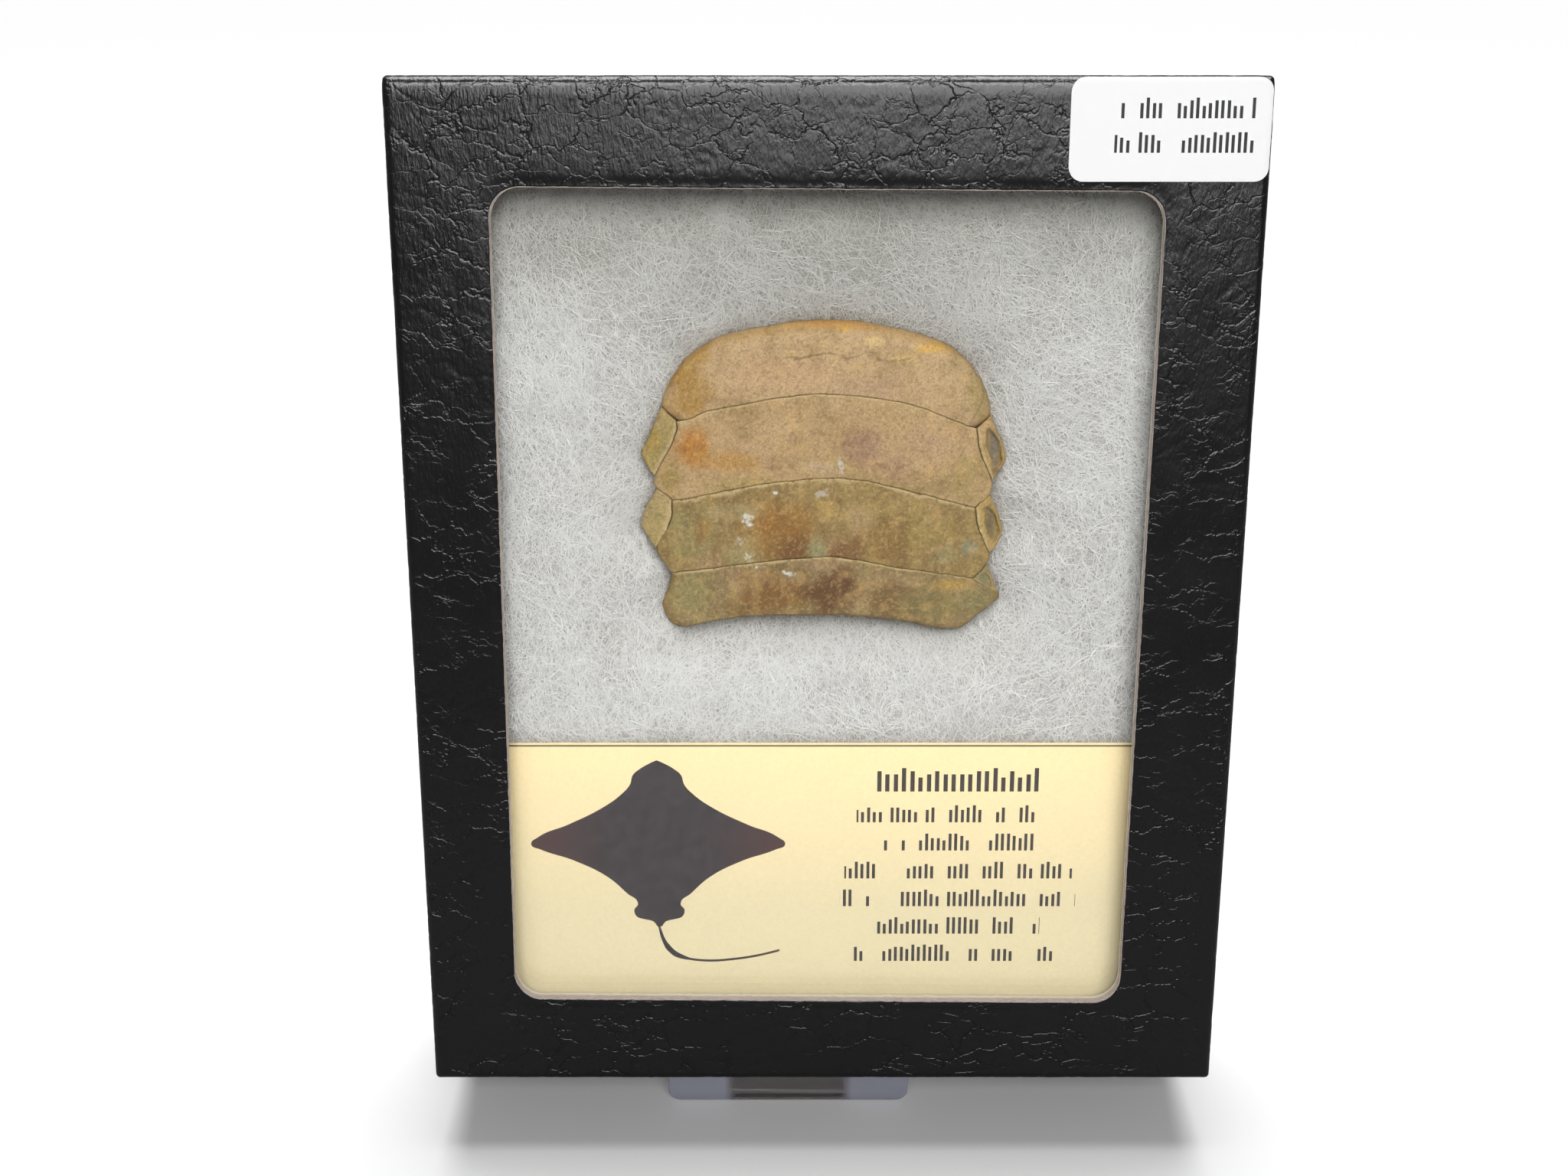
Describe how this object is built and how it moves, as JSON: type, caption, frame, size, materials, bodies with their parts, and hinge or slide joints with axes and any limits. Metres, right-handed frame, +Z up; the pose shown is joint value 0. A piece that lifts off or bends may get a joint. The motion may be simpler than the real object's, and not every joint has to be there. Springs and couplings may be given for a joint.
{
  "type": "fossil eagle ray tooth plate in display box",
  "caption": "Fossil eagle ray tooth plate on batting behind glass in a black covered display box with a printed card, leaning on a clear bent stand.",
  "frame": {"origin": "middle of the bounding box's bottom, on the surface that the stand's feet rest on", "axes": "+Z up, +X to the viewer's right, the box's glazed front faces -Y and leans back by 14 degrees"},
  "size_m": [0.108, 0.0772, 0.1397],
  "materials": {
    "leatherette": "board covered in black leather-grained paper, satin",
    "black_paper": "board covered in plain black paper, matt",
    "window_glass": "clear polished",
    "batting": "loose white fibre, matt",
    "cream_card": "printed card, smooth",
    "white_label": "white self-adhesive label, smooth",
    "fossil_enamel": "worn mineralised enamel, matt and sandy",
    "clear_acrylic": "clear polished sheet"
  },
  "bodies": {
    "root": {"lid": "leatherette", "base_tray": "black_paper", "glass_pane": "window_glass", "fibre_batting": "batting", "label_card": "cream_card", "sticker": "white_label", "tooth_median_1": "fossil_enamel", "tooth_median_2": "fossil_enamel", "tooth_median_3": "fossil_enamel", "tooth_median_4": "fossil_enamel", "tooth_lateral_left_1": "fossil_enamel", "tooth_lateral_left_2": "fossil_enamel", "tooth_lateral_right_1": "fossil_enamel", "tooth_lateral_right_2": "fossil_enamel", "tooth_lateral_right_3": "fossil_enamel", "stand": "clear_acrylic"}
  },
  "joints": []
}
